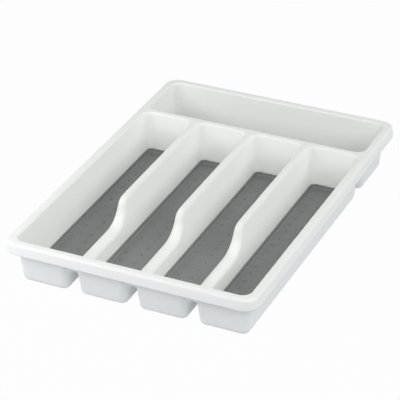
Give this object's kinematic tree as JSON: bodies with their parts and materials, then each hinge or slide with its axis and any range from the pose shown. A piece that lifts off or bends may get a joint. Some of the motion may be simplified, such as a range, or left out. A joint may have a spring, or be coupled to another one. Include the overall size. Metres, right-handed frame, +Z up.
{
  "type": "cutlery tray",
  "caption": "Open cutlery tray in satin white plastic: long compartments with dipped dividers, one cross compartment at the rear, grey soft linings and small feet.",
  "frame": {"origin": "middle of the plan, on the surface that the feet stand on", "axes": "+X to the right along the front, +Y from the front to the rear cross compartment, +Z up"},
  "size_m": [0.23, 0.32, 0.0434],
  "materials": {
    "tray": "satin white moulded plastic",
    "lining": "matte grey soft lining with rows of small raised dots",
    "foot": "matte grey rubber"
  },
  "bodies": {
    "root": {"tray_body": "tray", "lining_long_1": "lining", "lining_long_2": "lining", "lining_long_3": "lining", "lining_long_4": "lining", "lining_rear": "lining", "foot_front_left": "foot", "foot_front_right": "foot", "foot_rear_left": "foot", "foot_rear_right": "foot"}
  },
  "joints": []
}
